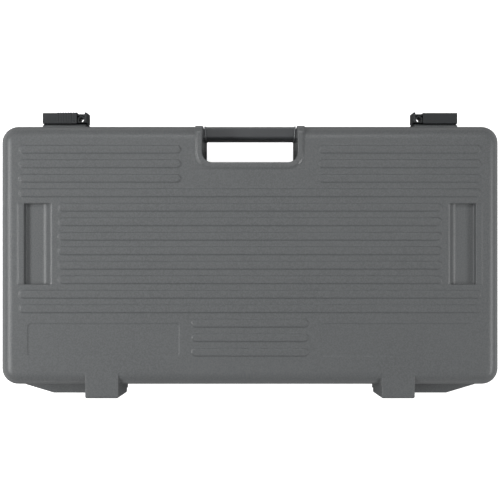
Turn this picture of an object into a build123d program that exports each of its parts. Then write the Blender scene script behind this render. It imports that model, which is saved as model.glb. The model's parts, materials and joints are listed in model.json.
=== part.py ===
"""Guitar pedal case: a moulded clamshell with a rear-hinged lid, two slide latches and a fixed grip.

Millimetres. The case lies flat on its base: +Z up, handle and latches towards -Y, hinges towards +Y.
Every shape is built about the middle of the case body; write() then moves it by BODY_Y, so that the
origin is at the middle of the whole outline, on the floor.
"""
import math
import os
from build123d import *

# Driving dimensions
CASE_WIDTH = 732.5
CASE_DEPTH = 382.5
PARTING_Z = 66.0
LID_HEIGHT = 64.0
FOOT_GAP = 5.0
WALL = 3.2
PLAN_CORNER = 26.0
TOP_ROUNDING = 20.0
BOTTOM_ROUNDING = 14.0
DRAFT = 2.5
BODY_Y = 2.85

# Working dimensions; PAST is how far a cutting shape runs past the face that it cuts
BASE_HEIGHT = PARTING_Z - FOOT_GAP
LID_TOP = PARTING_Z + LID_HEIGHT
HALF_WIDTH = CASE_WIDTH / 2
HALF_DEPTH = CASE_DEPTH / 2
FLOOR_Z = FOOT_GAP + WALL
CEILING_Z = LID_TOP - WALL
FIT_GAP = 0.3
PAST = 1.0
SIDES = {"right": 1, "left": -1}

# Rim that aligns the two halves
TONGUE_HEIGHT, TONGUE_WIDTH = 3.0, 1.3

# Handle opening, its raised frame and the grip
NOTCH_HALF, NOTCH_CORNER, NOTCH_END_Y, NOTCH_RUN_OUT = 69.2, 14.5, -135.2, 30.0
FRAME_WIDTH, FRAME_SLOPE_WIDTH, FRAME_RISE = 10.4, 3.4, 2.2
FRAME_ROUNDING, FRAME_PROUD, FRAME_EASE = 13.0, 0.6, 0.9
GRIP_FRONT, GRIP_BACK = -193.5, -174.8
GRIP_BOTTOM, GRIP_TOP = 44.0, 86.0
GRIP_FRONT_RADIUS, GRIP_BACK_RADIUS = 3.0, 5.5
COLLAR_WIDTH, COLLAR_RISE, COLLAR_KEY_INSET = 3.0, 0.8, 3.5
GRIP_SCREW_HEIGHTS, GRIP_SCREW_HEAD, GRIP_SCREW_REACH = (51.0, 60.0), 2.2, 12.0

# Ribs, stacking recesses and blank panels of the lid
RIB_WIDTH, RIB_RISE, RIB_PITCH, RIB_SLOPE, RIB_SEAT = 12.8, 1.6, 21.0, 40.0, 0.5
RIB_ROWS, RIB_SPLIT_ROWS, RIB_FULL_ROWS, RIB_MIDDLE_END, RIB_FIRST_Y = 15, 3, (3, 10, 11), 10, -153.9
RIB_FULL, RIB_MIDDLE, RIB_SHORT, RIB_SPLIT_START = 335.0, 278.5, 85.0, 99.7
RECESS_INNER, RECESS_OUTER = 289.0, 326.5
RECESS_LOW_Y, RECESS_HIGH_Y = -75.3, 42.1
RECESS_DEPTH, RECESS_RAMP, RECESS_LIP, RECESS_COVE = 7.0, 9.3, 1.6, 14.0
RECESS_DRAFT = 1.2
LAND_OUTER, LAND_RISE, LAND_SEAT = 337.0, 0.8, 4.0
PANEL_INNER, PANEL_OUTER = 103.0, 322.0
PANEL_LOW_Y, PANEL_HIGH_Y, PANEL_DEPTH, PANEL_CORNER = 99.0, 146.0, 0.6, 5.0

# Hinges and rear feet
HINGE_Y = 199.5
REAR_Y = 210.5
TAB_INNER, TAB_OUTER, TAB_REACH = 188.2, 241.8, 27.0
FOOT_INNER, FOOT_OUTER, FOOT_BEVEL_OUTER, FOOT_BEVEL_Y, FOOT_END = 194.5, 300.0, 343.0, 197.6, 353.0
FOOT_HEIGHT, FOOT_CHAMFER, FOOT_SEAT = 57.0, 6.0, 8.0
SWING_LEDGE_Z, SWING_GAP = 48.0, 0.6
KNUCKLE_RADIUS, PIN_RADIUS, BORE_RADIUS = 6.8, 2.5, 2.55
PIN_START, PIN_END, BORE_RUN_OUT = 192.2, 237.8, 5.0
KNUCKLE_SPLITS = (203.6, 226.4)
KNUCKLE_GAP = 0.5
TAB_ROUNDING = 3.0
POCKET_WALL, POCKET_TOP, POCKET_CLEARANCE = 3.2, 118.0, 0.4
STEM_HALF, WEB_LOW, WEB_HIGH, WEB_INSET = 5.0, 9.5, 20.0, 1.5

# Slide latches
LATCH_INNER, LATCH_OUTER = 247.5, 313.7
LATCH_HALF_HEIGHT = 14.0
LATCH_FRONT = -216.2
BOSS_Y, BOSS_HEIGHT, BOSS_DEPTH = -196.6, 17.0, 14.0
SLIDER_INNER, SLIDER_BACK, SLIDER_WALL, SLIDER_FRONT_WALL = 262.0, -199.3, 1.7, 1.3
SLIDER_LIP, SLIDER_LIP_THICKNESS, SLIDER_BEVEL = 2.2, 1.4, 1.0
GRIP_RIBS, GRIP_RIB_PITCH, GRIP_RIB_WIDTH, GRIP_RIB_RISE, GRIP_RIB_BEVEL = 8, 3.9, 2.3, 0.7, 1.4
SLIDER_GAP = 0.3
LATCH_TRAVEL = 11.2
RAIL_HALF_HEIGHT = LATCH_HALF_HEIGHT - SLIDER_WALL - SLIDER_GAP
RAIL_END = LATCH_OUTER - SLIDER_WALL - LATCH_TRAVEL - SLIDER_GAP
SLIDER_FRONT = LATCH_FRONT + GRIP_RIB_RISE
RAIL_FRONT = SLIDER_FRONT + SLIDER_FRONT_WALL + SLIDER_GAP
RAIL_BACK = SLIDER_BACK - SLIDER_LIP_THICKNESS - SLIDER_GAP
GUARD_THICKNESS = 2.2
CHEEK_THICKNESS = 2.8
TRACK_PLATE, TRACK_PLATE_SPARE = 2.2, 1.5
LUG_X, LUG_Y, LUG_RADIUS, LUG_HOLE_RADIUS = 255.8, -205.6, 5.8, 3.8
LUG_HALF_HEIGHT, LUG_FLOOR_HALF = 11.0, 4.0
CHEEK_DIMPLE_Y, CHEEK_DIMPLE_RADIUS, CHEEK_DIMPLE_DEPTH = -212.3, 1.1, 1.4
KEEPER_INNER, KEEPER_OUTER, KEEPER_LOW, KEEPER_TOP = 249.0, 313.0, PARTING_Z + 0.4, 78.0
KEEPER_PLATE, KEEPER_BEVEL = 1.7, 0.6
RIDGE_INNER, RIDGE_OUTER, RIDGE_LOW, RIDGE_HIGH, RIDGE_RISE = 264.0, 298.0, 4.0, 7.0, 2.3
LATCH_SCREW_X = (270.0, 292.0)
KEEPER_SCREW_Z, TRACK_SCREW_Z, LATCH_SCREW_HEAD, LATCH_SCREW_COVER = 74.2, 60.0, 2.0, 0.6

# Screws are plain: a tapered head and a shank, both with flats
HEAD_FLATS, HEAD_TAPER, SHANK_FLATS = 12, 8.0, 8

# Rubber feet
FOOT_X, FOOT_Y = 300.0, 150.0
FOOT_TIP_RADIUS, FOOT_SLOPE, FOOT_WELL_RADIUS, FOOT_WELL_DEPTH = 13.0, 18.0, 6.0, 2.6
FOOT_SCREW_HEAD = 2.0

# Foam inside
FOAM_GAP = 0.8
BED_TOP = 20.0
BED_REAR_Y = 124.0
BLOCK_TOP = 62.0
LID_FOAM_HALF, LID_FOAM_LOW_Y, LID_FOAM_HIGH_Y, LID_FOAM_THICKNESS = 276.0, -122.0, 168.0, 14.0
LID_FOAM_CORNER, DIVIDER_CORNER = 12.0, 3.0
SIDE_FOAM_INNER, SIDE_FOAM_LOW_Y, SIDE_FOAM_HIGH_Y = 330.0, -150.0, 112.0
REAR_FOAM_INNER, REAR_FOAM_LOW_Y = 98.0, 126.0
DIVIDER_SIZE = (16.0, 150.0, 38.0)
DIVIDER_X = (-205.0, 0.0, 205.0)
DIVIDER_Y = 20.0

# Junction box with its sockets
BOX_HALF, BOX_FRONT, BOX_BACK, BOX_TOP = 90.0, 132.0, 172.0, 54.0
BOX_WALL, BOX_LID, BOX_CORNER, BOX_LID_BEVEL = 2.4, 2.6, 3.0, 0.8
BOX_SCREW_X, BOX_SCREW_INSET, BOX_SCREW_HEAD, BOX_SCREW_REACH = 84.0, 1.3, 1.2, 8.0
JACK_X = (-60.0, -27.0)
JACK_Z, JACK_BORE, JACK_BUSH_RADIUS, JACK_REACH = 33.0, 3.2, 4.7, 6.5
JACK_BODY_HALF, JACK_BODY_LENGTH, JACK_BODY_CORNER, JACK_BORE_DEPTH = 8.0, 26.0, 1.5, 22.0
NUT_RADIUS, NUT_THICKNESS, WASHER_RADIUS, WASHER_THICKNESS = 7.0, 2.4, 7.6, 1.0
DC_X, DC_FLANGE_RADIUS, DC_FLANGE, DC_LENGTH = 45.0, 6.8, 2.0, 12.0
DC_WELL_RADIUS, DC_WELL_DEPTH, DC_PIN_RADIUS, DC_PIN_RECESS = 2.75, 7.0, 1.05, 1.0
BUSH_GAP, THREAD_GAP = 0.1, 0.05


def block(x0, x1, y0, y1, z0, z1):
    """A plain block between six limits."""
    size = (abs(x1 - x0), abs(y1 - y0), abs(z1 - z0))
    return Pos((x0 + x1) / 2, (y0 + y1) / 2, (z0 + z1) / 2) * Box(*size)


def rod(radius, start, end):
    """A round bar from one point to another along an axis."""
    start, end = Vector(*start), Vector(*end)
    plane = Plane(start, z_dir=(end - start))
    return extrude(plane * Circle(radius), (end - start).length)


def bowl(grow, height, rounding, ease=fillet):
    """One half of the case as a solid, open plane at Z = 0, grown sideways by grow."""
    plan = RectangleRounded(CASE_WIDTH + 2 * grow, CASE_DEPTH + 2 * grow, PLAN_CORNER + grow)
    solid = extrude(plan, height, taper=DRAFT)
    return ease(solid.edges().group_by(Axis.Z)[-1], rounding)


def notch_plan(grow):
    """Plan of the handle opening, run out past the front, widened by grow."""
    front = -HALF_DEPTH - NOTCH_RUN_OUT
    depth = NOTCH_END_Y + grow - front
    plan = Pos(0, front + depth / 2) * Rectangle(2 * (NOTCH_HALF + grow), depth)
    return fillet(plan.vertices().group_by(Axis.Y)[-1], NOTCH_CORNER + grow)


def notch(grow, height):
    """The handle opening as an upright prism, widened by grow."""
    return extrude(notch_plan(grow), height)


def opening_cut(height):
    """What the handle opening takes out of one half, with its top edge eased."""
    ease = extrude(notch_plan(0), 2 * FRAME_EASE, taper=-45)
    return notch(0, height + FRAME_RISE) + Pos(0, 0, height + FRAME_RISE - FRAME_EASE) * ease


def opening_frame(height):
    """The raised bead round the handle opening, sloped outwards, an ear at each front corner."""
    cover = bowl(FRAME_PROUD, height + FRAME_RISE, FRAME_ROUNDING)
    slope = math.degrees(math.atan2(FRAME_SLOPE_WIDTH, FRAME_RISE))
    crest = Pos(0, 0, height) * extrude(notch_plan(FRAME_WIDTH), FRAME_RISE, taper=slope)
    return cover & (notch(FRAME_WIDTH, height) + crest)


def half_outer(height, rounding):
    """Outside of one half: body, handle frame and latch bosses, open plane at Z = 0."""
    solid = bowl(0, height, rounding)
    solid += opening_frame(height)
    for side in SIDES.values():
        middle = (LATCH_INNER + LATCH_OUTER) / 2 * side
        plan = Pos(middle, BOSS_Y + BOSS_DEPTH / 2) * Rectangle(LATCH_OUTER - LATCH_INNER, BOSS_DEPTH)
        solid += extrude(plan, BOSS_HEIGHT, taper=DRAFT)
    return solid


def half_cavity(height, rounding):
    """The hollow of one half, bevelled at half its outer rounding, clear of the handle opening's walls."""
    return bowl(-WALL, height - WALL, rounding / 2, chamfer) - notch(WALL, height)


def mouth(grow, height):
    """Plan of the cavity at the parting plane, grown by grow, as a low prism."""
    plan = RectangleRounded(CASE_WIDTH - 2 * WALL + 2 * grow, CASE_DEPTH - 2 * WALL + 2 * grow,
                            PLAN_CORNER - WALL + grow)
    return extrude(plan, height) - notch(WALL - grow, height)


def recess_block(grow):
    """Outer shape of one stacking recess below the lid face, widened by grow for its walls."""
    top, floor = LID_HEIGHT + PAST, LID_HEIGHT - RECESS_DEPTH - grow
    inner = RECESS_INNER - grow
    profile = make_face(Polyline((inner - RECESS_LIP, top), (inner - RECESS_LIP, LID_HEIGHT),
                                 (inner + RECESS_LIP / 2, LID_HEIGHT - RECESS_LIP / 2),
                                 (inner + RECESS_RAMP, floor), (RECESS_OUTER + grow, floor),
                                 (RECESS_OUTER + grow + RECESS_DRAFT, top), close=True))
    foot_of_ramp = profile.vertices().sort_by_distance((inner + RECESS_RAMP, floor))[0]
    face = Plane.XZ * fillet(foot_of_ramp, RECESS_COVE + grow)
    depth = RECESS_HIGH_Y - RECESS_LOW_Y + 2 * grow
    return Pos(0, RECESS_HIGH_Y + grow, 0) * extrude(face, depth)


def rib_spans():
    """Middle Y and the X limits of every rib on the lid."""
    spans = []
    for row in range(RIB_ROWS):
        y = RIB_FIRST_Y + RIB_PITCH * row
        if row < RIB_SPLIT_ROWS:
            spans += [(y, side * RIB_SPLIT_START, side * RIB_FULL) for side in SIDES.values()]
        elif row in RIB_FULL_ROWS:
            spans.append((y, -RIB_FULL, RIB_FULL))
        elif row < RIB_MIDDLE_END:
            spans.append((y, -RIB_MIDDLE, RIB_MIDDLE))
        else:
            spans.append((y, -RIB_SHORT, RIB_SHORT))
    return spans


def both_sides(shape):
    """The shape and its mirror image across the middle of the case."""
    return [shape, mirror(shape, about=Plane.YZ)]


def lid_ribs():
    """All the raised ribs, seated a little into the lid face."""
    ribs = []
    for y, x0, x1 in rib_spans():
        plan = Pos((x0 + x1) / 2, y) * SlotOverall(abs(x1 - x0), RIB_WIDTH)
        rib = extrude(plan, RIB_RISE, taper=RIB_SLOPE) + extrude(plan, -RIB_SEAT)
        ribs.append(Pos(0, 0, LID_HEIGHT) * rib)
    return ribs


def knuckle(x0, x1, side):
    """A hinge barrel between two distances from the middle."""
    return rod(KNUCKLE_RADIUS, (side * x0, HINGE_Y, 0), (side * x1, HINGE_Y, 0))


def pin_bore(side):
    """The hole for the hinge pin, past both its ends."""
    start, end = PIN_START - BORE_RUN_OUT, PIN_END + BORE_RUN_OUT
    return rod(BORE_RADIUS, (side * start, HINGE_Y, 0), (side * end, HINGE_Y, 0))


def lid_tab(side):
    """Rear tab of the lid, a hollow column over the hinge with the lid's own barrel."""
    width, depth = TAB_OUTER - TAB_INNER, REAR_Y - HALF_DEPTH + TAB_REACH
    middle = side * (TAB_INNER + TAB_OUTER) / 2
    plan = Pos(middle, REAR_Y - depth / 2) * Rectangle(width, depth)
    tab = extrude(plan, LID_HEIGHT, taper=DRAFT)
    tip = tab.edges().filter_by(lambda e: e.center().Y > REAR_Y - 2 * TAB_ROUNDING and e.center().Z > PAST)
    return fillet(tip, TAB_ROUNDING)


def lid_pocket(side):
    """Hollow of a rear tab, open downwards."""
    low, high = HALF_DEPTH + POCKET_CLEARANCE, REAR_Y - POCKET_WALL
    middle = side * (TAB_INNER + TAB_OUTER) / 2
    width = TAB_OUTER - TAB_INNER - 2 * POCKET_WALL
    plan = Pos(middle, (low + high) / 2) * Rectangle(width, high - low)
    return extrude(plan, POCKET_TOP - PARTING_Z, taper=DRAFT)


def lid_barrel(side):
    """Barrel of the lid with the web that carries it down from the tab."""
    x0, x1 = KNUCKLE_SPLITS[0] + KNUCKLE_GAP, KNUCKLE_SPLITS[1] - KNUCKLE_GAP
    web = block(side * x0, side * x1, HALF_DEPTH, REAR_Y - WEB_INSET, WEB_LOW, WEB_HIGH)
    stem = block(side * x0, side * x1, HINGE_Y - STEM_HALF, HINGE_Y + STEM_HALF, 0, 2 * STEM_HALF)
    return knuckle(x0, x1, side) + stem + web


def lid_land():
    """The raised strip between a stacking recess and the edge of the lid."""
    inner = RECESS_OUTER - LAND_SEAT
    plan = Pos((inner + LAND_OUTER) / 2, (RECESS_LOW_Y + RECESS_HIGH_Y) / 2, LID_HEIGHT)
    plan *= Rectangle(LAND_OUTER - inner, RECESS_HIGH_Y - RECESS_LOW_Y)
    return extrude(plan, LAND_RISE, taper=RIB_SLOPE)


def blank_panel():
    """What a shallow blank panel takes out of the lid face."""
    plan = Pos((PANEL_INNER + PANEL_OUTER) / 2, (PANEL_LOW_Y + PANEL_HIGH_Y) / 2, LID_HEIGHT - PANEL_DEPTH)
    plan *= RectangleRounded(PANEL_OUTER - PANEL_INNER, PANEL_HIGH_Y - PANEL_LOW_Y, PANEL_CORNER)
    return extrude(plan, PANEL_DEPTH + PAST, taper=-RIB_SLOPE)


def lid_shell():
    """The lid: ribs, stacking recesses, blank panels, handle frame, latch bosses, hinge tabs."""
    shell = half_outer(LID_HEIGHT, TOP_ROUNDING)
    for side in SIDES.values():
        shell += lid_tab(side)
    cavity = half_cavity(LID_HEIGHT, TOP_ROUNDING)
    for walls in both_sides(recess_block(WALL)):
        cavity -= walls
    for raised in lid_ribs() + both_sides(lid_land()):
        shell += raised
    for cut in both_sides(recess_block(0)) + both_sides(blank_panel()):
        shell -= cut
    shell -= cavity
    shell -= opening_cut(LID_HEIGHT)
    shell -= mouth(TONGUE_WIDTH + FIT_GAP, TONGUE_HEIGHT + FIT_GAP)
    for side in SIDES.values():
        shell = shell - lid_pocket(side) + lid_barrel(side) - pin_bore(side)
    return Pos(0, 0, PARTING_Z) * shell


def rear_foot(side):
    """Rear standing foot of the base, low under the hinge tab and full height beside it."""
    seat = HALF_DEPTH - FOOT_SEAT
    points = [(FOOT_INNER, seat), (FOOT_INNER, REAR_Y), (FOOT_OUTER, REAR_Y),
              (FOOT_BEVEL_OUTER, FOOT_BEVEL_Y), (FOOT_END, seat)]
    plan = make_face(Polyline(*[(side * x, y) for x, y in points], close=True))
    foot = extrude(plan, FOOT_HEIGHT)
    low_edges = foot.edges().group_by(Axis.Z)[-1].filter_by(lambda e: e.center().Y > seat + PAST)
    foot = chamfer(low_edges, FOOT_CHAMFER)
    swing = block(side * (TAB_INNER - PAST), side * (TAB_OUTER + SWING_GAP), HALF_DEPTH - PAST,
                  REAR_Y + PAST, -PAST, PARTING_Z - SWING_LEDGE_Z)
    return foot - swing


def base_barrels(side):
    """The two barrels of the base, on webs from its rear wall."""
    made = []
    for x0, x1 in ((PIN_START, KNUCKLE_SPLITS[0]), (KNUCKLE_SPLITS[1], PIN_END)):
        web = block(side * x0, side * x1, HALF_DEPTH - WALL, HINGE_Y, 0, KNUCKLE_RADIUS)
        made.append(knuckle(x0, x1, side) + web)
    return made


def base_shell():
    """The base: deep tray with tongue rim, latch bosses, rear feet and hinge barrels."""
    shell = half_outer(BASE_HEIGHT, BOTTOM_ROUNDING)
    for side in SIDES.values():
        shell += rear_foot(side)
    shell -= half_cavity(BASE_HEIGHT, BOTTOM_ROUNDING)
    shell -= opening_cut(BASE_HEIGHT)
    for side in SIDES.values():
        for barrel in base_barrels(side):
            shell += barrel
        shell -= pin_bore(side)
    tongue = mouth(TONGUE_WIDTH, TONGUE_HEIGHT) - mouth(0, TONGUE_HEIGHT)
    return Pos(0, 0, PARTING_Z) * (mirror(shell, about=Plane.XY) + tongue)


def hinge_pin(side):
    """Steel pin through the three barrels of one hinge."""
    return rod(PIN_RADIUS, (side * PIN_START, HINGE_Y, PARTING_Z), (side * PIN_END, HINGE_Y, PARTING_Z))


def grip_profile(grow):
    """Section of the grip across its length: flat top, small front radius, larger back radius."""
    width, height = GRIP_BACK - GRIP_FRONT + 2 * grow, GRIP_TOP - GRIP_BOTTOM + 2 * grow
    outline = Rectangle(width, height)
    back = outline.vertices().sort_by(Axis.X)[-2:]
    outline = fillet(back, GRIP_BACK_RADIUS + grow)
    front = outline.vertices().sort_by(Axis.X)[:2]
    outline = fillet(front, GRIP_FRONT_RADIUS + grow)
    centre = ((GRIP_FRONT + GRIP_BACK) / 2, (GRIP_BOTTOM + GRIP_TOP) / 2)
    return Plane.YZ * Pos(*centre) * outline


def handle_grip():
    """Grip bar between the two collars."""
    half = NOTCH_HALF - COLLAR_WIDTH
    return Pos(-half, 0, 0) * extrude(grip_profile(0), 2 * half)


def handle_collars():
    """End collars that close the grip against the base's walls, each keyed to its wall below the lid."""
    outer = NOTCH_HALF - FIT_GAP
    inner = NOTCH_HALF - COLLAR_WIDTH
    collar = Pos(inner, 0, 0) * extrude(grip_profile(COLLAR_RISE), outer - inner)
    collar += block(outer, NOTCH_HALF, GRIP_FRONT + COLLAR_KEY_INSET, GRIP_BACK - COLLAR_KEY_INSET,
                    GRIP_BOTTOM + COLLAR_KEY_INSET, PARTING_Z - COLLAR_KEY_INSET)
    return Compound(children=both_sides(collar))


def pan_screw(head, tip, head_radius, shank_radius, head_height):
    """Screw whose head starts at one point and whose shank ends at another, with plain flats."""
    head, tip = Vector(*head), Vector(*tip)
    plane = Plane(head, z_dir=(tip - head))
    cap = extrude(plane * RegularPolygon(head_radius, HEAD_FLATS), head_height, taper=-HEAD_TAPER)
    shank = extrude(plane * RegularPolygon(shank_radius, SHANK_FLATS), (tip - head).length)
    return cap + shank


def handle_screws():
    """Screws through the walls of the handle opening into the grip's ends."""
    y = (GRIP_FRONT + GRIP_BACK) / 2
    head_x = NOTCH_HALF + WALL + GRIP_SCREW_HEAD
    made = []
    for z in GRIP_SCREW_HEIGHTS:
        screw = pan_screw((head_x, y, z), (NOTCH_HALF - GRIP_SCREW_REACH, y, z), 3.4, 1.7, GRIP_SCREW_HEAD)
        made += both_sides(screw)
    return Compound(children=made)


def latch_track():
    """Fixed body of a slide latch on the base: plate, rail, end cheek, guard and padlock lug."""
    low, high = PARTING_Z - RAIL_HALF_HEIGHT, PARTING_Z + RAIL_HALF_HEIGHT
    top = PARTING_Z - FIT_GAP
    plate = block(LATCH_INNER, LATCH_OUTER - FIT_GAP, BOSS_Y - TRACK_PLATE, BOSS_Y,
                  low - TRACK_PLATE_SPARE, top)
    web = block(LATCH_INNER, RAIL_END, RAIL_BACK, BOSS_Y - TRACK_PLATE, low + SLIDER_LIP + SLIDER_GAP, top)
    rail = block(SLIDER_INNER, RAIL_END, RAIL_FRONT, RAIL_BACK, low, high)
    guard = block(LATCH_INNER, SLIDER_INNER, RAIL_FRONT, RAIL_FRONT + GUARD_THICKNESS, low, high)
    cheek = block(LATCH_INNER, LATCH_INNER + CHEEK_THICKNESS, LATCH_FRONT, RAIL_BACK,
                  PARTING_Z - LATCH_HALF_HEIGHT, PARTING_Z + LATCH_HALF_HEIGHT)
    cheek -= rod(CHEEK_DIMPLE_RADIUS, (LATCH_INNER - PAST, CHEEK_DIMPLE_Y, PARTING_Z),
                 (LATCH_INNER + CHEEK_DIMPLE_DEPTH, CHEEK_DIMPLE_Y, PARTING_Z))
    lug_low, lug_high = PARTING_Z - LUG_HALF_HEIGHT, PARTING_Z + LUG_HALF_HEIGHT
    lug = rod(LUG_RADIUS, (LUG_X, LUG_Y, lug_low), (LUG_X, LUG_Y, lug_high))
    lug += block(LUG_X - LUG_RADIUS, LUG_X + LUG_RADIUS, LUG_Y, RAIL_BACK, lug_low, lug_high)
    lug &= block(LATCH_INNER, SLIDER_INNER, LATCH_FRONT, RAIL_BACK, low, high)
    floor = block(LATCH_INNER, SLIDER_INNER, RAIL_FRONT, RAIL_BACK,
                  PARTING_Z - LUG_FLOOR_HALF, PARTING_Z + LUG_FLOOR_HALF)
    hole = rod(LUG_HOLE_RADIUS, (LUG_X, LUG_Y, low - PAST), (LUG_X, LUG_Y, high + PAST))
    return plate + web + rail + guard + cheek + lug + floor - hole


def latch_slider():
    """Sliding sleeve of a latch: C section with rear lips and grip ribs on its upper edge."""
    low, high = PARTING_Z - LATCH_HALF_HEIGHT, PARTING_Z + LATCH_HALF_HEIGHT
    sleeve = block(SLIDER_INNER, LATCH_OUTER, SLIDER_FRONT, SLIDER_BACK, low, high)
    sleeve = chamfer(sleeve.edges().filter_by(Axis.X).sort_by(Axis.Y)[:2], SLIDER_BEVEL)
    lip_face = SLIDER_BACK - SLIDER_LIP_THICKNESS
    inside = block(SLIDER_INNER - PAST, LATCH_OUTER - SLIDER_WALL, SLIDER_FRONT + SLIDER_FRONT_WALL,
                   lip_face, low + SLIDER_WALL, high - SLIDER_WALL)
    throat = block(SLIDER_INNER - PAST, LATCH_OUTER - SLIDER_WALL, lip_face - PAST,
                   SLIDER_BACK + PAST, low + SLIDER_WALL + SLIDER_LIP, high - SLIDER_WALL - SLIDER_LIP)
    sleeve = sleeve - inside - throat
    crest, seat = high + GRIP_RIB_RISE / 2, SLIDER_FRONT_WALL / 2
    section = Polyline((LATCH_FRONT, PARTING_Z), (LATCH_FRONT, high - SLIDER_BEVEL),
                       (LATCH_FRONT + GRIP_RIB_BEVEL, crest), (SLIDER_BACK, crest),
                       (SLIDER_BACK, high - seat), (SLIDER_FRONT + 2 * seat, high - 2 * seat),
                       (SLIDER_FRONT + seat, PARTING_Z), close=True)
    bar = extrude(Plane.YZ * make_face(section), GRIP_RIB_WIDTH)
    for rib in range(GRIP_RIBS):
        sleeve += Pos(SLIDER_INNER + FIT_GAP + GRIP_RIB_PITCH * rib, 0, 0) * bar
    return sleeve


def latch_keeper():
    """Catch plate of a latch on the lid, with the ridge that the slider's lips meet."""
    plate = block(KEEPER_INNER, KEEPER_OUTER, BOSS_Y - KEEPER_PLATE, BOSS_Y, KEEPER_LOW, KEEPER_TOP)
    ridge = block(RIDGE_INNER, RIDGE_OUTER, BOSS_Y - RIDGE_RISE, BOSS_Y - KEEPER_PLATE / 2,
                  PARTING_Z + RIDGE_LOW, PARTING_Z + RIDGE_HIGH)
    return chamfer(plate.edges().filter_by(Axis.X).sort_by(Axis.Y)[:2], KEEPER_BEVEL) + ridge


def latch_screws(z, plate):
    """Screws of one latch plate on both ends, from inside the case through its wall and boss."""
    head_y = WALL - HALF_DEPTH + LATCH_SCREW_HEAD
    made = []
    for x in LATCH_SCREW_X:
        tip_y = BOSS_Y - plate + LATCH_SCREW_COVER
        screw = pan_screw((x, head_y, z), (x, tip_y, z), 3.0, 1.4, LATCH_SCREW_HEAD)
        made += both_sides(screw)
    return Compound(children=made)


def rubber_feet():
    """Four round feet under the base, hollow round their screws."""
    foot = extrude(Circle(FOOT_TIP_RADIUS), FOOT_GAP, taper=-FOOT_SLOPE)
    foot -= extrude(Circle(FOOT_WELL_RADIUS), FOOT_WELL_DEPTH)
    return Compound(children=[Pos(x, y) * foot for x in (-FOOT_X, FOOT_X) for y in (-FOOT_Y, FOOT_Y)])


def foot_screws():
    """A screw up through each rubber foot into the base's floor."""
    head_z, tip_z = FOOT_WELL_DEPTH - FOOT_SCREW_HEAD, FLOOR_Z - 0.4
    made = [pan_screw((x, y, head_z), (x, y, tip_z), 4.2, 1.8, FOOT_SCREW_HEAD)
            for x in (-FOOT_X, FOOT_X) for y in (-FOOT_Y, FOOT_Y)]
    return Compound(children=made)


def base_foam(x0, x1, y0, y1, z0, z1):
    """Foam cut to the inside of the base between six limits, with rounded upright edges."""
    inset = WALL + FOAM_GAP
    bay = bowl(-inset, BASE_HEIGHT - WALL, BOTTOM_ROUNDING / 2, chamfer) - notch(inset, BASE_HEIGHT)
    bay = Pos(0, 0, PARTING_Z) * mirror(bay, about=Plane.XY)
    return bay & block(x0, x1, y0, y1, z0, z1)


def base_foam_bed():
    """Foam sheet under the pedals, cut round the handle opening."""
    return base_foam(-HALF_WIDTH, HALF_WIDTH, -HALF_DEPTH, BED_REAR_Y, FLOOR_Z, BED_TOP)


def side_foam(side):
    """Foam strip along one end of the pedal bay."""
    return base_foam(side * SIDE_FOAM_INNER, side * HALF_WIDTH, SIDE_FOAM_LOW_Y, SIDE_FOAM_HIGH_Y,
                     BED_TOP, BLOCK_TOP)


def rear_foam(side):
    """Foam block beside the junction box."""
    return base_foam(side * REAR_FOAM_INNER, side * HALF_WIDTH, REAR_FOAM_LOW_Y, HALF_DEPTH,
                     FLOOR_Z, BLOCK_TOP)


def divider(x):
    """Loose foam block between two pedals."""
    width, depth, height = DIVIDER_SIZE
    made = Pos(x, DIVIDER_Y, BED_TOP + height / 2) * Box(width, depth, height)
    return fillet(made.edges().filter_by(Axis.Z), DIVIDER_CORNER)


def lid_foam():
    """Foam pad on the underside of the lid, between the stacking recesses."""
    plan = Pos(0, (LID_FOAM_LOW_Y + LID_FOAM_HIGH_Y) / 2)
    plan *= RectangleRounded(2 * LID_FOAM_HALF, LID_FOAM_HIGH_Y - LID_FOAM_LOW_Y, LID_FOAM_CORNER)
    return Pos(0, 0, CEILING_Z - LID_FOAM_THICKNESS) * extrude(plan, LID_FOAM_THICKNESS)


def box_housing():
    """Junction box housing, open at the top, with round openings for its sockets."""
    outer = block(-BOX_HALF, BOX_HALF, BOX_FRONT, BOX_BACK, FLOOR_Z, BOX_TOP)
    outer = fillet(outer.edges().filter_by(Axis.Z), BOX_CORNER)
    inner = block(-BOX_HALF + BOX_WALL, BOX_HALF - BOX_WALL, BOX_FRONT + BOX_WALL, BOX_BACK - BOX_WALL,
                  FLOOR_Z + BOX_WALL, BOX_TOP + PAST)
    housing = outer - inner
    for x in JACK_X + (DC_X,):
        start, end = BOX_FRONT - PAST, BOX_FRONT + BOX_WALL + PAST
        housing -= rod(JACK_BUSH_RADIUS + BUSH_GAP, (x, start, JACK_Z), (x, end, JACK_Z))
    return housing


def box_cover():
    """Cover plate of the junction box."""
    cover = block(-BOX_HALF, BOX_HALF, BOX_FRONT, BOX_BACK, BOX_TOP, BOX_TOP + BOX_LID)
    cover = fillet(cover.edges().filter_by(Axis.Z), BOX_CORNER)
    return chamfer(cover.faces().sort_by(Axis.Z)[-1].edges(), BOX_LID_BEVEL)


def box_screws():
    """Four screws at the corners of the junction box's cover."""
    made = []
    for y in (BOX_FRONT + BOX_SCREW_INSET, BOX_BACK - BOX_SCREW_INSET):
        head = (BOX_SCREW_X, y, BOX_TOP + BOX_LID + BOX_SCREW_HEAD)
        tip = (BOX_SCREW_X, y, BOX_TOP - BOX_SCREW_REACH)
        made += both_sides(pan_screw(head, tip, 2.4, 0.9, BOX_SCREW_HEAD))
    return Compound(children=made)


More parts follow.
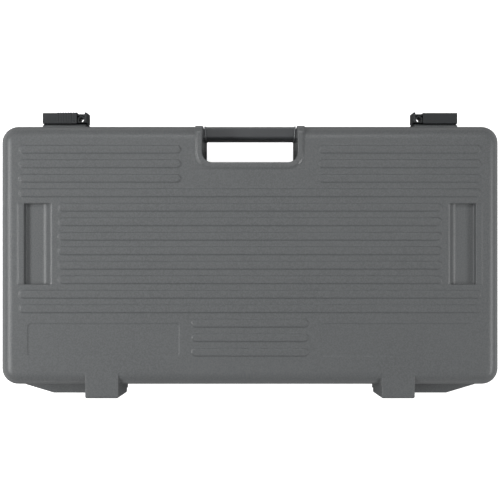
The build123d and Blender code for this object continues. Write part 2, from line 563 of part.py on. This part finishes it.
def jack_socket(x):
    """Phone jack: threaded bush through the housing's wall and a body behind it."""
    front, wall_back = BOX_FRONT - JACK_REACH, BOX_FRONT + BOX_WALL
    bush = rod(JACK_BUSH_RADIUS, (x, front, JACK_Z), (x, wall_back, JACK_Z))
    body = block(x - JACK_BODY_HALF, x + JACK_BODY_HALF, wall_back, wall_back + JACK_BODY_LENGTH,
                 JACK_Z - JACK_BODY_HALF, JACK_Z + JACK_BODY_HALF)
    body = fillet(body.edges().filter_by(Axis.Y), JACK_BODY_CORNER)
    return bush + body - rod(JACK_BORE, (x, front - PAST, JACK_Z), (x, wall_back + JACK_BORE_DEPTH, JACK_Z))


def jack_nut(x):
    """Hexagon nut on a jack's bush, with the flat washer under it."""
    seat = BOX_FRONT - WASHER_THICKNESS
    nut = extrude(Plane((x, seat, JACK_Z), z_dir=(0, -1, 0)) * RegularPolygon(NUT_RADIUS, 6), NUT_THICKNESS)
    washer = rod(WASHER_RADIUS, (x, BOX_FRONT, JACK_Z), (x, seat, JACK_Z))
    start, end = BOX_FRONT + PAST, BOX_FRONT - JACK_REACH
    return nut + washer - rod(JACK_BUSH_RADIUS + THREAD_GAP, (x, start, JACK_Z), (x, end, JACK_Z))


def dc_socket():
    """Power inlet with its centre pin."""
    front, back = BOX_FRONT - DC_FLANGE, BOX_FRONT + BOX_WALL
    bush = rod(JACK_BUSH_RADIUS, (DC_X, front, JACK_Z), (DC_X, back + DC_LENGTH, JACK_Z))
    flange = rod(DC_FLANGE_RADIUS, (DC_X, front, JACK_Z), (DC_X, BOX_FRONT, JACK_Z))
    well = rod(DC_WELL_RADIUS, (DC_X, front - PAST, JACK_Z), (DC_X, back + DC_WELL_DEPTH, JACK_Z))
    foot_of_pin = back + DC_WELL_DEPTH + PAST
    pin = rod(DC_PIN_RADIUS, (DC_X, front + DC_PIN_RECESS, JACK_Z), (DC_X, foot_of_pin, JACK_Z))
    return bush + flange - well + pin


def turned_over(shape):
    """The same moulding turned half round about the front normal, for the other end."""
    return Pos(0, 0, PARTING_Z) * Rot(0, 180, 0) * Pos(0, 0, -PARTING_Z) * shape


def write(node, shape):
    """One STEP file per node, in the frame of the finished part."""
    export_step(Pos(0, BODY_Y, 0) * shape, f"parts/{node}.step")


def main():
    os.makedirs("parts", exist_ok=True)
    write("lid_shell", lid_shell())
    write("base_shell", base_shell())
    write("handle_grip", handle_grip())
    write("handle_collars", handle_collars())
    write("handle_screws", handle_screws())
    for name, side in SIDES.items():
        write(f"hinge_pin_{name}", hinge_pin(side))
        write(f"latch_track_{name}", latch_track() if side > 0 else mirror(latch_track(), about=Plane.YZ))
        write(f"latch_slider_{name}", latch_slider() if side > 0 else turned_over(latch_slider()))
        write(f"latch_keeper_{name}", latch_keeper() if side > 0 else mirror(latch_keeper(), about=Plane.YZ))
        write(f"side_foam_{name}", side_foam(side))
        write(f"rear_foam_{name}", rear_foam(side))
    write("latch_track_screws", latch_screws(TRACK_SCREW_Z, TRACK_PLATE))
    write("latch_keeper_screws", latch_screws(KEEPER_SCREW_Z, KEEPER_PLATE))
    write("rubber_feet", rubber_feet())
    write("rubber_foot_screws", foot_screws())
    write("base_foam_bed", base_foam_bed())
    write("lid_foam", lid_foam())
    for number, x in enumerate(DIVIDER_X, 1):
        write(f"foam_divider_{number}", divider(x))
    write("junction_box_housing", box_housing())
    write("junction_box_cover", box_cover())
    write("junction_box_screws", box_screws())
    for number, x in enumerate(JACK_X, 1):
        write(f"jack_socket_{number}", jack_socket(x))
    write("jack_nuts", Compound(children=[jack_nut(x) for x in JACK_X]))
    write("dc_socket", dc_socket())


main()
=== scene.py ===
"""Looks of the guitar pedal case: materials, foam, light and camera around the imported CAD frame.

Lengths are in metres, powers in watts and tones in 0 to 255 sRGB values.
"""
import json
import math
import bpy
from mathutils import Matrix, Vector, noise

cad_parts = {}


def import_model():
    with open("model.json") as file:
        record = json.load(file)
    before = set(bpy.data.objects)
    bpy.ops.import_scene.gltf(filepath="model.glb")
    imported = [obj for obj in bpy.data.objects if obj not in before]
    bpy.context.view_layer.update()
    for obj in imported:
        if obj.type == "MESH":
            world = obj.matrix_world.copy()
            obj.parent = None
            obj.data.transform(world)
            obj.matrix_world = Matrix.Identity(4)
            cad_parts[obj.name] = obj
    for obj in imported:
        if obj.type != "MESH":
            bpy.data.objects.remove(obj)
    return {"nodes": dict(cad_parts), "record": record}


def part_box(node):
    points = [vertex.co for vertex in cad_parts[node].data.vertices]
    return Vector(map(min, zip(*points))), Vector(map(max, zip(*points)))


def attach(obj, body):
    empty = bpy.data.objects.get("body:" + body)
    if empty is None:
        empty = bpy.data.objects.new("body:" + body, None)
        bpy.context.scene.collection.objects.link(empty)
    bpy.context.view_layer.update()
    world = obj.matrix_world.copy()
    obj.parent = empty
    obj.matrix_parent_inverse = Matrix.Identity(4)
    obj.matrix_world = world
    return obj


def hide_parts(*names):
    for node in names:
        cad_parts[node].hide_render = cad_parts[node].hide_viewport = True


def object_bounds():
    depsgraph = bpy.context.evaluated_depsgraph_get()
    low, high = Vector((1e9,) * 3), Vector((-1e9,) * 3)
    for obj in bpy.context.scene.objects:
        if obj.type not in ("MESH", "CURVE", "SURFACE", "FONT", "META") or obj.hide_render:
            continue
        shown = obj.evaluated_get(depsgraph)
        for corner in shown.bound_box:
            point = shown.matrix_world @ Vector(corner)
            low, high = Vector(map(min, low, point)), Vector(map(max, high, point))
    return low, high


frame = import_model()
cad_low, cad_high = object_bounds()
nodes = frame["nodes"]
SLOT = {s["node"]: s["material_slot"] for s in frame["record"]["subparts"]}
BODIES = frame["record"]["behaviour"]["bodies"]
BODY_OF = {node: body for body, members in BODIES.items() for node in members}

# Camera of the picture: straight down on the lid, handle side at the top
LID_TOP = 0.130
CAMERA_ABOVE_LID = 1.15
CAMERA_X, CAMERA_Y = 0.0, -0.00505
VIEW_WIDTH = 0.725
SENSOR = 36.0
NEAREST_SEEN, FARTHEST_SEEN = 0.01, 50.0

# Softboxes: place from the middle of the lid's face, size along and across, power
SOFTBOXES = {
    "softbox_top": ((0.25, -0.25, 2.20), (1.8, 1.8), 5.0),
    "softbox_left": ((1.50, 0.10, 1.17), (1.4, 0.55), 25.0),
    "softbox_right": ((-1.64, 0.35, 0.95), (1.4, 0.4), 14.5),
    "softbox_front": ((0.0, -1.15, 1.50), (1.6, 0.4), 9.0),
}
AMBIENT = 0.08

# Floor: its colour and glow where it is seen directly, and its colour for the light it bounces
FLOOR_SIZE, FLOOR_DROP = 12.0, 0.0005
FLOOR_PALE, FLOOR_DIM, FLOOR_GLOW = 0.8, 0.26, 0.96
# Distances from the case over which reflections of the floor go from painted shade, the dim floor with
# its real shadow, to white
SHADE_NEAR, SHADE_FAR = 0.05, 0.45

# Edges that look rounded without geometry
EDGE_SAMPLES = 8
MOULDED_EDGE, FINE_EDGE = 0.003, 0.0006
# Edge mask for the painted highlight on the grip's edges: bevel radius and the cosine at which it is
# full
PAINTED_HIGHLIGHT_WIDTH, PAINTED_HIGHLIGHT_FULL = 0.0025, 0.90

# Colour sockets of a Mix node
MIX_A, MIX_B, MIX_RESULT = 6, 7, 2

# Where a noise is spread over a full span
NOISE_START, NOISE_END = 0.3, 0.7
PLASTIC_GLOSS = 0.3

# Case plastic: tones of the mottling and the pebble grain, and the relief of pebble and fine grain
MOTTLE_DARK, MOTTLE_LIGHT, MOTTLE_SCALE = (89, 91, 92), (93, 95, 96), 9.0
PEBBLE_TONE, PEBBLE_SCALE, PEBBLE_START, PEBBLE_END = (100, 102, 103), 520.0, 0.38, 0.62
FINE_SCALE, FINE_SHARE, GRAIN_DEPTH = 1500.0, 0.4, 0.00010
BEAD_ROUGH, GRAIN_ROUGH_LOW, GRAIN_ROUGH_HIGH = 0.12, 0.17, 0.25
# Polished bead round the handle opening: half its width and its rear end on the lid
BEAD_HALF, BEAD_END = 0.0797, -0.1219

# Satin plastics: darker and lighter tone, roughness, radius of the edges, tone of the painted
# highlight on the edges
SATIN = {
    "latch_black": ((32, 34, 36), (38, 41, 43), 0.36, FINE_EDGE, None),
    "grip_grey": ((72, 74, 76), (77, 79, 81), 0.15, MOULDED_EDGE, (128, 130, 132)),
    "box_black": ((32, 32, 34), (42, 42, 44), 0.55, FINE_EDGE, None),
    "socket_black": ((24, 24, 26), (34, 34, 36), 0.4, FINE_EDGE, None),
}
FLOW_SCALE, FLOW_STRETCH = 30.0, (0.3, 1, 1)
SATIN_GRAIN_SCALE, SATIN_GRAIN_DEPTH = 1400.0, 0.00003
SATIN_SMOOTHER, SATIN_ROUGHER = 0.04, 0.06

# Metals: darker and lighter tone, roughness
METALS = {
    "screw_steel": ((120, 120, 122), (160, 160, 162), 0.35),
    "pin_steel": ((140, 140, 142), (180, 180, 182), 0.3),
    "nut_nickel": ((170, 168, 160), (205, 203, 196), 0.22),
}
STAIN_SCALE, BRUSH_SCALE = 160.0, 900.0
METAL_SMOOTHER, METAL_ROUGHER = 0.08, 0.12

# Rubber of the feet, with dust on it
RUBBER_DARK, RUBBER_DUSTY, RUBBER_ROUGH = (28, 28, 30), (52, 52, 54), 0.75
DUST_SCALE, DUST_START, DUST_END = 120.0, 0.45, 0.75
RUBBER_GRAIN_SCALE, RUBBER_GRAIN_DEPTH = 700.0, 0.00006

# Foam: tones inside and on the rim of its cells
FOAM_DARK, FOAM_LIGHT, FOAM_ROUGH = (24, 24, 26), (58, 58, 61), 0.95
CELL_SCALE, CELL_START, CELL_END, CELL_DEPTH = 520.0, 0.1, 0.6, 0.0004

# Foam pads: voxel size, how far edges pull in, whether the lower or the upper side rests flat
FOAM = {
    "base_foam_bed": (0.004, 0.0016, "below"),
    "side_foam_left": (0.003, 0.0022, "below"),
    "side_foam_right": (0.003, 0.0022, "below"),
    "rear_foam_left": (0.004, 0.0026, "below"),
    "rear_foam_right": (0.004, 0.0026, "below"),
    "foam_divider_1": (0.002, 0.0012, "below"),
    "foam_divider_2": (0.002, 0.0012, "below"),
    "foam_divider_3": (0.002, 0.0012, "below"),
    "lid_foam": (0.004, 0.0020, "above"),
}
SOFTEN_FACTOR, SOFTEN_TIMES = 0.5, 5
SKIN_WAVE, SKIN_WAVE_LENGTH = 0.0003, 0.035


def srgb(value):
    """Linear value of one 0 to 255 sRGB channel."""
    c = value / 255.0
    return c / 12.92 if c <= 0.04045 else ((c + 0.055) / 1.055) ** 2.4


def rgb(tone):
    return (*[srgb(value) for value in tone], 1.0)


class Nodes:
    """A shader node tree with short ways to add, link and calculate."""

    def __init__(self, tree):
        self.tree = tree

    def add(self, kind):
        return self.tree.nodes.new("ShaderNode" + kind)

    def link(self, start, end):
        self.tree.links.new(start, end)

    def feed(self, socket, value):
        """Link the socket to a node's output, or write a plain value on it."""
        if isinstance(value, bpy.types.NodeSocket):
            self.link(value, socket)
        else:
            socket.default_value = value

    def place(self):
        return self.add("TexCoord").outputs["Object"]

    def math(self, operation, *values):
        node = self.add("Math")
        node.operation = operation
        for socket, value in zip(node.inputs, values):
            self.feed(socket, value)
        return node.outputs[0]

    def span(self, source, low, high, start=NOISE_START, end=NOISE_END):
        """The source remapped from start..end to low..high."""
        node = self.add("MapRange")
        self.link(source, node.inputs["Value"])
        for name, value in (("From Min", start), ("From Max", end), ("To Min", low), ("To Max", high)):
            node.inputs[name].default_value = value
        return node.outputs[0]

    def split(self):
        """The three coordinates of the place on the object."""
        node = self.add("SeparateXYZ")
        self.link(self.place(), node.inputs[0])
        return node.outputs

    def seen_directly(self, clear=1.0):
        """1 for rays from the camera, and for those from a mirror or clear glass times clear."""
        path = self.add("LightPath").outputs
        bounced = self.math("MAXIMUM", path["Is Glossy Ray"], path["Is Transmission Ray"])
        return self.math("MAXIMUM", path["Is Camera Ray"], self.math("MULTIPLY", bounced, clear))

    def blend(self, output, factor, bounced, direct):
        """Send one shader to the output where factor is 0, and another where it is 1."""
        mix = self.add("MixShader")
        for socket, source in zip(mix.inputs, (factor, bounced, direct)):
            self.link(source, socket)
        self.link(mix.outputs[0], self.add(output).inputs["Surface"])


class Finish(Nodes):
    """One procedural material, built node by node around its Principled shader."""

    def __init__(self, name, rough=0.5, metal=0.0, gloss=0.5):
        self.material = bpy.data.materials.new(name)
        self.material.use_nodes = True
        super().__init__(self.material.node_tree)
        self.shader = self.tree.nodes["Principled BSDF"].inputs
        self.shader["Roughness"].default_value = rough
        self.shader["Metallic"].default_value = metal
        self.shader["Specular IOR Level"].default_value = gloss

    def noise(self, scale, detail, stretch=(1, 1, 1)):
        mapping = self.add("Mapping")
        mapping.inputs["Scale"].default_value = stretch
        self.link(self.place(), mapping.inputs["Vector"])
        node = self.add("TexNoise")
        node.inputs["Scale"].default_value = scale
        node.inputs["Detail"].default_value = detail
        self.link(mapping.outputs[0], node.inputs["Vector"])
        return node.outputs["Fac"]

    def cells(self, scale):
        node = self.add("TexVoronoi")
        node.inputs["Scale"].default_value = scale
        self.link(self.place(), node.inputs["Vector"])
        return node.outputs["Distance"]

    def outside(self, half_width, end):
        """0 in a block at the middle of the case's front, 1 elsewhere."""
        x, y, _ = self.split()
        across = self.math("GREATER_THAN", self.math("ABSOLUTE", x), half_width)
        behind = self.math("GREATER_THAN", y, end)
        return self.math("MAXIMUM", across, behind)

    def mix(self, factor, a, b):
        """Colour a where factor is 0 and colour b where it is 1."""
        node = self.add("Mix")
        node.data_type = "RGBA"
        self.link(factor, node.inputs["Factor"])
        self.feed(node.inputs[MIX_A], a)
        self.feed(node.inputs[MIX_B], b)
        return node.outputs[MIX_RESULT]

    def colour(self, source):
        self.link(source, self.shader["Base Color"])

    def roughness(self, source):
        self.link(source, self.shader["Roughness"])

    def soft_normal(self, radius):
        """The surface's normal, turned near edges as if they were rounded by the radius."""
        node = self.add("Bevel")
        node.samples = EDGE_SAMPLES
        node.inputs["Radius"].default_value = radius
        return node.outputs[0]

    def edges(self, radius, full):
        """0 on flat places, 1 at edges whose normal is off by a cosine of full or less."""
        compare = self.add("VectorMath")
        compare.operation = "DOT_PRODUCT"
        self.link(self.soft_normal(radius), compare.inputs[0])
        self.link(self.add("NewGeometry").outputs["Normal"], compare.inputs[1])
        return self.span(compare.outputs["Value"], 1, 0, full, 1.0)

    def bump(self, height, depth, edge=None):
        """Relief of the given depth, over edges that look rounded by the edge radius."""
        node = self.add("Bump")
        if edge:
            self.link(self.soft_normal(edge), node.inputs["Normal"])
        node.inputs["Strength"].default_value = 1.0
        node.inputs["Distance"].default_value = depth
        self.link(height, node.inputs["Height"])
        self.link(node.outputs[0], self.shader["Normal"])


def case_plastic():
    """Moulded mid-grey plastic: leather grain, faint mottling, polished bead round the opening."""
    f = Finish("case_grey", gloss=PLASTIC_GLOSS)
    mottle = f.noise(MOTTLE_SCALE, 3.0)
    pebble = f.noise(PEBBLE_SCALE, 3.0)
    fine = f.noise(FINE_SCALE, 1.0)
    tone = f.mix(f.span(mottle, 0, 1), rgb(MOTTLE_DARK), rgb(MOTTLE_LIGHT))
    f.colour(f.mix(f.span(pebble, 0, 1, PEBBLE_START, PEBBLE_END), tone, rgb(PEBBLE_TONE)))
    grained = f.outside(BEAD_HALF, BEAD_END)
    more_rough = f.span(fine, GRAIN_ROUGH_LOW, GRAIN_ROUGH_HIGH)
    f.roughness(f.math("MULTIPLY_ADD", grained, more_rough, BEAD_ROUGH))
    relief = f.math("ADD", pebble, f.math("MULTIPLY", fine, FINE_SHARE))
    f.bump(f.math("MULTIPLY", grained, relief), GRAIN_DEPTH, MOULDED_EDGE)
    return f.material


def satin_plastic(name, dark, light, rough, edge, painted_highlight):
    f = Finish(name, rough=rough, gloss=PLASTIC_GLOSS)
    flow = f.noise(FLOW_SCALE, 3.0, FLOW_STRETCH)
    grain = f.noise(SATIN_GRAIN_SCALE, 1.0)
    tone = f.mix(f.span(flow, 0, 1), rgb(dark), rgb(light))
    # Edges get a lighter tone: a painted highlight
    if painted_highlight:
        tone = f.mix(f.edges(PAINTED_HIGHLIGHT_WIDTH, PAINTED_HIGHLIGHT_FULL), tone, rgb(painted_highlight))
    f.colour(tone)
    f.roughness(f.span(grain, rough - SATIN_SMOOTHER, rough + SATIN_ROUGHER))
    f.bump(grain, SATIN_GRAIN_DEPTH, edge)
    return f.material


def metal(name, dark, light, rough):
    f = Finish(name, rough=rough, metal=1.0)
    stain = f.noise(STAIN_SCALE, 3.0)
    brushed = f.noise(BRUSH_SCALE, 1.0)
    f.colour(f.mix(f.span(stain, 0, 1), rgb(dark), rgb(light)))
    f.roughness(f.span(brushed, rough - METAL_SMOOTHER, rough + METAL_ROUGHER))
    return f.material


def rubber():
    f = Finish("foot_rubber", rough=RUBBER_ROUGH)
    dusty = f.span(f.noise(DUST_SCALE, 4.0), 0, 1, DUST_START, DUST_END)
    f.colour(f.mix(dusty, rgb(RUBBER_DARK), rgb(RUBBER_DUSTY)))
    f.bump(f.noise(RUBBER_GRAIN_SCALE, 2.0), RUBBER_GRAIN_DEPTH)
    return f.material


def foam():
    f = Finish("foam", rough=FOAM_ROUGH)
    cell = f.cells(CELL_SCALE)
    f.colour(f.mix(f.span(cell, 0, 1, CELL_START, CELL_END), rgb(FOAM_DARK), rgb(FOAM_LIGHT)))
    f.bump(cell, CELL_DEPTH)
    return f.material


MATS = {"case_grey": case_plastic(), "foot_rubber": rubber(), "foam": foam()}
for slot, values in SATIN.items():
    MATS[slot] = satin_plastic(slot, *values)
for slot, values in METALS.items():
    MATS[slot] = metal(slot, *values)
for name, obj in nodes.items():
    obj.data.materials.clear()
    obj.data.materials.append(MATS[SLOT[name]])


def pad_mesh(node, voxel):
    """The node's solid as an even, softened mesh."""
    rough = bpy.data.objects.new(node + "_rough", nodes[node].data.copy())
    bpy.context.scene.collection.objects.link(rough)
    remesh = rough.modifiers.new("remesh", "REMESH")
    remesh.mode = "VOXEL"
    remesh.voxel_size = voxel
    remesh.use_smooth_shade = True
    soften = rough.modifiers.new("soften", "SMOOTH")
    soften.factor = SOFTEN_FACTOR
    soften.iterations = SOFTEN_TIMES
    graph = bpy.context.evaluated_depsgraph_get()
    mesh = bpy.data.meshes.new_from_object(rough.evaluated_get(graph))
    bpy.data.objects.remove(rough)
    return mesh


def foam_pad(node, voxel, pull, flat_side):
    """Cut foam in the place of its CAD solid: crowned faces, pulled-in edges, an uneven skin."""
    mesh = pad_mesh(node, voxel)
    low, high = (Vector(corner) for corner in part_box(node))
    middle, half = (low + high) / 2, (high - low) / 2
    for vertex in mesh.vertices:
        # Share of the way from the middle to each side, -1 to 1
        share = [max(-1.0, min(1.0, (vertex.co[k] - middle[k]) / half[k])) for k in range(3)]
        rests = share[2] < 0 if flat_side == "below" else share[2] > 0
        wave = SKIN_WAVE * noise.noise(vertex.co / SKIN_WAVE_LENGTH)
        for k in range(3):
            if k == 2 and rests:
                continue
            # The free face falls off only near its edges, the sides over their whole length
            fall = 4 if k == 2 else 2
            a, b = (share[j] for j in range(3) if j != k)
            crown = (1 - a ** fall) * (1 - b ** fall)
            vertex.co[k] += share[k] * (pull * (crown - 1) + wave)
    piece = bpy.data.objects.new(node + "_pad", mesh)
    bpy.context.scene.collection.objects.link(piece)
    mesh.materials.clear()
    mesh.materials.append(MATS["foam"])
    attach(piece, BODY_OF[node])
    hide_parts(node)


def foam_pads():
    for node, (voxel, pull, flat_side) in FOAM.items():
        foam_pad(node, voxel, pull, flat_side)


def aim(obj, target):
    """Turn an object so that its -Z axis points at the target."""
    away = [a - b for a, b in zip(obj.location, target)]
    flat = math.hypot(away[0], away[1])
    obj.rotation_euler = (math.atan2(flat, away[2]), 0, math.atan2(away[0], -away[1]))


def lights():
    for name, ((x, y, above), (along, across), power) in SOFTBOXES.items():
        data = bpy.data.lights.new(name, "AREA")
        data.shape = "RECTANGLE"
        data.size, data.size_y = along, across
        data.energy = power
        made = bpy.data.objects.new(name, data)
        bpy.context.scene.collection.objects.link(made)
        made.location = (x, y, LID_TOP + above)
        aim(made, (0, 0, LID_TOP))


def world():
    """Dim light from all round, white where it is seen directly."""
    made = bpy.data.worlds.new("studio")
    bpy.context.scene.world = made
    made.use_nodes = True
    made.node_tree.nodes.clear()
    sky = Nodes(made.node_tree)
    soft = sky.add("Background")
    soft.inputs["Strength"].default_value = AMBIENT
    white = sky.add("Background")
    white.inputs["Color"].default_value = (1, 1, 1, 1)
    white.inputs["Strength"].default_value = 1.0
    sky.blend("OutputWorld", sky.seen_directly(), soft.outputs[0], white.outputs[0])


def clear_of_object(paint):
    """0 on the floor close under the case, where reflections get painted shade, 1 away from it."""
    far = []
    for place, reach in zip(paint.split(), cad_high[:2]):
        size = paint.math("ABSOLUTE", place)
        far.append(paint.span(size, 0, 1, reach + SHADE_NEAR, reach + SHADE_FAR))
    return paint.math("MAXIMUM", *far)


def floor():
    """Floor that is white where it is seen directly; in reflections it is dim near the case: painted
    shade over its real shadow.
    """
    bpy.ops.mesh.primitive_plane_add(size=FLOOR_SIZE, location=(0, 0, -FLOOR_DROP))
    made = bpy.context.object
    made.name = "floor"
    material = bpy.data.materials.new("floor_white")
    material.use_nodes = True
    material.node_tree.nodes.clear()
    paint = Nodes(material.node_tree)
    pale, dim, glow = paint.add("BsdfDiffuse"), paint.add("BsdfDiffuse"), paint.add("Emission")
    pale.inputs["Color"].default_value = (FLOOR_PALE, FLOOR_PALE, FLOOR_PALE, 1)
    dim.inputs["Color"].default_value = (FLOOR_DIM, FLOOR_DIM, FLOOR_DIM, 1)
    glow.inputs["Strength"].default_value = FLOOR_GLOW
    direct = paint.add("AddShader")
    paint.link(pale.outputs[0], direct.inputs[0])
    paint.link(glow.outputs[0], direct.inputs[1])
    # Near the case, reflections see the dim floor: painted shade set by distance from the case
    seen = paint.seen_directly(clear_of_object(paint))
    paint.blend("OutputMaterial", seen, dim.outputs[0], direct.outputs[0])
    made.data.materials.append(material)


def camera():
    data = bpy.data.cameras.new("picture_camera")
    data.sensor_width = SENSOR
    data.lens = SENSOR * CAMERA_ABOVE_LID / VIEW_WIDTH
    data.clip_start, data.clip_end = NEAREST_SEEN, FARTHEST_SEEN
    made = bpy.data.objects.new("picture_camera", data)
    bpy.context.scene.collection.objects.link(made)
    made.location = (CAMERA_X, CAMERA_Y, LID_TOP + CAMERA_ABOVE_LID)
    made.rotation_euler = (0, 0, math.pi)
    bpy.context.scene.camera = made


camera()
foam_pads()
lights()
world()
floor()
bpy.context.scene.view_settings.view_transform = "Standard"
